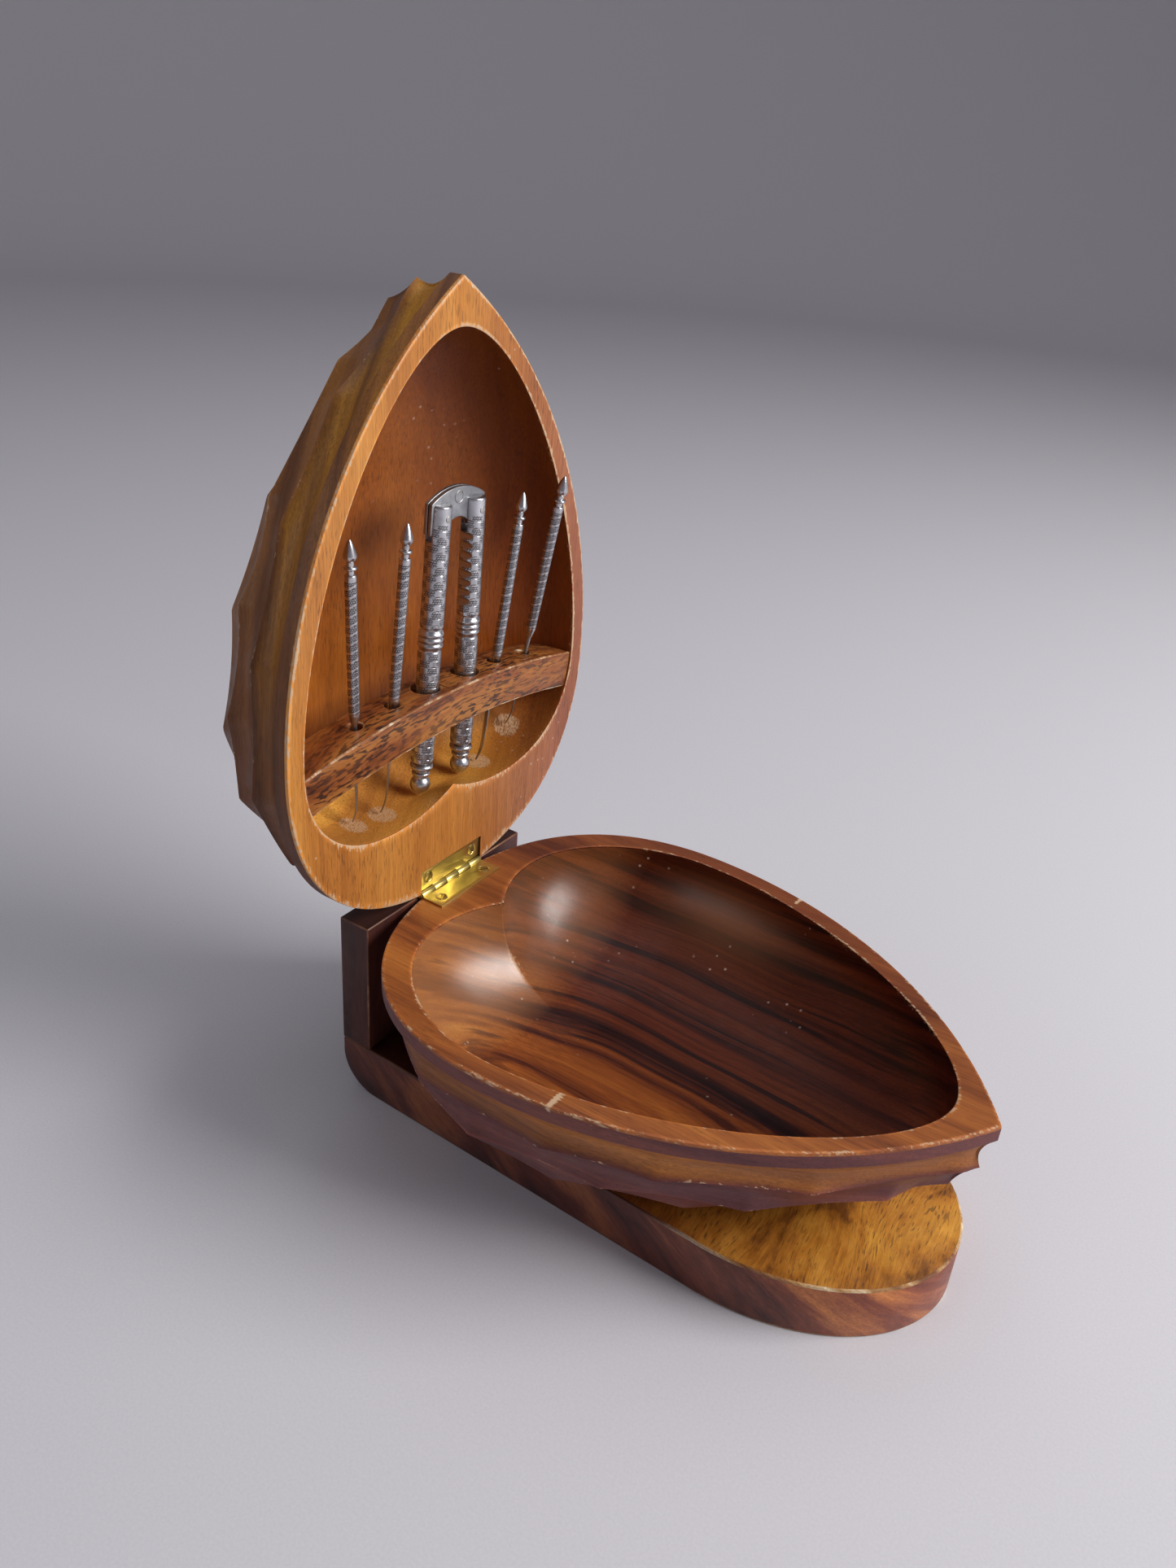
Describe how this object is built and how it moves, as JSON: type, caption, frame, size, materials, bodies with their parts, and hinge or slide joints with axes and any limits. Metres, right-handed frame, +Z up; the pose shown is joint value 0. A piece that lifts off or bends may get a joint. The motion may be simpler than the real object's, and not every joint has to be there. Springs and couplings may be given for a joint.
{
  "type": "nut bowl with nutcracker and nut picks",
  "caption": "Hinged nut-shaped wooden bowl on an L-shaped stand, its lid holding a plated nutcracker and nut picks in a drilled rail.",
  "frame": {"origin": "centre of the stand's underside, on the table", "axes": "+X from the hinge to the bowl's point, +Y across the bowl, +Z up along the open lid"},
  "size_m": [0.3244, 0.195, 0.3524],
  "materials": {
    "stand_wood": "satin lacquer, dark straight grain",
    "bowl_wood": "gloss lacquer, red-brown with near-black streaks",
    "lid_wood": "satin lacquer, golden brown",
    "rail_wood": "satin, open pores",
    "brass": "polished, lightly tarnished",
    "nickel": "nickel plate with dark patina in the knurling",
    "steel": "plain steel"
  },
  "bodies": {
    "base": {"stand_base": "stand_wood", "stand_post": "stand_wood", "post_screws": "steel", "bowl_screws": "steel", "bowl": "bowl_wood", "hinge_leaf_bowl": "brass", "hinge_screws_bowl": "brass", "hinge_pin": "brass"},
    "lid": {"lid": "lid_wood", "tool_bar": "rail_wood", "hinge_leaf_lid": "brass", "hinge_screws_lid": "brass"},
    "nutcracker": {"link_plate_front": "nickel", "link_plate_back": "nickel", "pivot_rivets": "steel"},
    "arm_left": {"nutcracker_arm_left": "nickel"},
    "arm_right": {"nutcracker_arm_right": "nickel"},
    "pick_1": {"pick_1_handle": "nickel", "pick_1_shank": "steel"},
    "pick_2": {"pick_2_handle": "nickel", "pick_2_shank": "steel"},
    "pick_3": {"pick_3_handle": "nickel", "pick_3_shank": "steel"},
    "pick_4": {"pick_4_handle": "nickel", "pick_4_shank": "steel"}
  },
  "joints": [
    {"name": "lid_hinge", "type": "hinge", "parent": "base", "child": "lid", "pos_m": [-0.1199, 0, 0.0932], "axis": [0, -1, 0], "range_deg": [-90, 0]},
    {"name": "nutcracker_lift", "type": "slide", "parent": "lid", "child": "nutcracker", "axis": [0.0366, 0.0192, 0.9991], "range_m": [0, 0.03]},
    {"name": "arm_left_pivot", "type": "hinge", "parent": "nutcracker", "child": "arm_left", "pos_m": [-0.12756, -0.00241, 0.26164], "axis": [0.9993, 0, -0.0366], "range_deg": [-0.35, 0.35]},
    {"name": "arm_right_pivot", "type": "hinge", "parent": "nutcracker", "child": "arm_right", "pos_m": [-0.12758, 0.01958, 0.26122], "axis": [0.9993, 0, -0.0366], "range_deg": [-0.35, 0.35]},
    {"name": "pick_1_lift", "type": "slide", "parent": "lid", "child": "pick_1", "axis": [0.0747, -0.0886, 0.9933], "range_m": [0, 0.012]},
    {"name": "pick_2_lift", "type": "slide", "parent": "lid", "child": "pick_2", "axis": [0.047, 0.0575, 0.9972], "range_m": [0, 0.02]},
    {"name": "pick_3_lift", "type": "slide", "parent": "lid", "child": "pick_3", "axis": [0.0624, 0.1147, 0.9914], "range_m": [0, 0.02]},
    {"name": "pick_4_lift", "type": "slide", "parent": "lid", "child": "pick_4", "axis": [0.1805, 0.0086, 0.9835], "range_m": [0, 0.012]}
  ]
}
